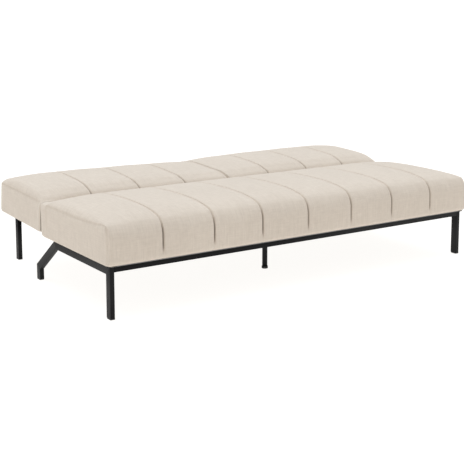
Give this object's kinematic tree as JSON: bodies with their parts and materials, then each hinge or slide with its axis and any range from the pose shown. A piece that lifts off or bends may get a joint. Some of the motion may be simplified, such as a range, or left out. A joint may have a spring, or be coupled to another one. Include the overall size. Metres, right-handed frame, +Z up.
{
  "type": "click clack sofa bed",
  "caption": "Click clack sofa bed laid flat: a quilted seat on a low tube frame and a quilted back on ratchet hinges that lifts to make a sofa.",
  "frame": {"origin": "on the floor, under the middle of the bed's outline", "axes": "+X along the bed's length to the right seen from the front, +Y from the seat's front to the back's far edge, +Z up"},
  "size_m": [1.98, 1.1704, 0.4397],
  "materials": {
    "seat_fabric": "matte",
    "back_fabric": "matte",
    "black_frame": "satin",
    "black_plastic": "matte",
    "inner_steel": "satin",
    "zinc_steel": "satin",
    "dust_cloth": "matte"
  },
  "bodies": {
    "base": {"front_leg_left": "black_frame", "front_leg_right": "black_frame", "side_rail_left": "black_frame", "side_rail_right": "black_frame", "rear_leg_left": "black_frame", "rear_leg_right": "black_frame", "front_foot_plug_left": "black_plastic", "front_foot_plug_right": "black_plastic", "rear_foot_plug_left": "black_plastic", "rear_foot_plug_right": "black_plastic", "front_rail": "black_frame", "rear_cross_rail": "black_frame", "centre_brace": "black_frame", "centre_leg": "black_frame", "centre_glide": "black_plastic", "frame_bolt_front_left": "zinc_steel", "frame_bolt_rear_left": "zinc_steel", "frame_bolt_front_right": "zinc_steel", "frame_bolt_rear_right": "zinc_steel", "seat_cushion": "seat_fabric", "seat_dust_cover": "dust_cloth", "seat_frame_front": "inner_steel", "seat_frame_rear": "inner_steel", "seat_frame_left": "inner_steel", "seat_frame_right": "inner_steel", "seat_frame_centre": "inner_steel", "seat_spring_unit": "inner_steel", "seat_arm_left": "zinc_steel", "seat_arm_right": "zinc_steel", "hinge_cheek_left": "zinc_steel", "hinge_cheek_right": "zinc_steel", "pivot_pin_left": "inner_steel", "pivot_pin_right": "inner_steel", "pawl_pin_left": "inner_steel", "pawl_pin_right": "inner_steel", "pawl_spring_left": "inner_steel", "pawl_spring_right": "inner_steel"},
    "back": {"back_cushion": "back_fabric", "back_dust_cover": "dust_cloth", "back_frame_front": "inner_steel", "back_frame_rear": "inner_steel", "back_frame_left": "inner_steel", "back_frame_right": "inner_steel", "back_spring_unit": "inner_steel", "back_arm_left": "zinc_steel", "back_arm_right": "zinc_steel", "back_leg_left": "black_frame", "back_leg_right": "black_frame", "back_leg_plate_left": "black_frame", "back_leg_plate_right": "black_frame", "back_foot_plug_left": "black_plastic", "back_foot_plug_right": "black_plastic"},
    "pawl_left": {"pawl_left": "zinc_steel"},
    "pawl_right": {"pawl_right": "zinc_steel"}
  },
  "joints": [
    {"name": "back_hinge", "type": "hinge", "parent": "base", "child": "back", "pos_m": [0, 0.081, 0.358], "axis": [1, 0, 0], "range_deg": [0, 84]},
    {"name": "pawl_left_pivot", "type": "hinge", "parent": "base", "child": "pawl_left", "pos_m": [-0.9407, 0.036, 0.308], "axis": [1, 0, 0], "range_deg": [0, 14]},
    {"name": "pawl_right_pivot", "type": "hinge", "parent": "base", "child": "pawl_right", "pos_m": [0.9407, 0.036, 0.308], "axis": [1, 0, 0], "range_deg": [0, 14]}
  ]
}
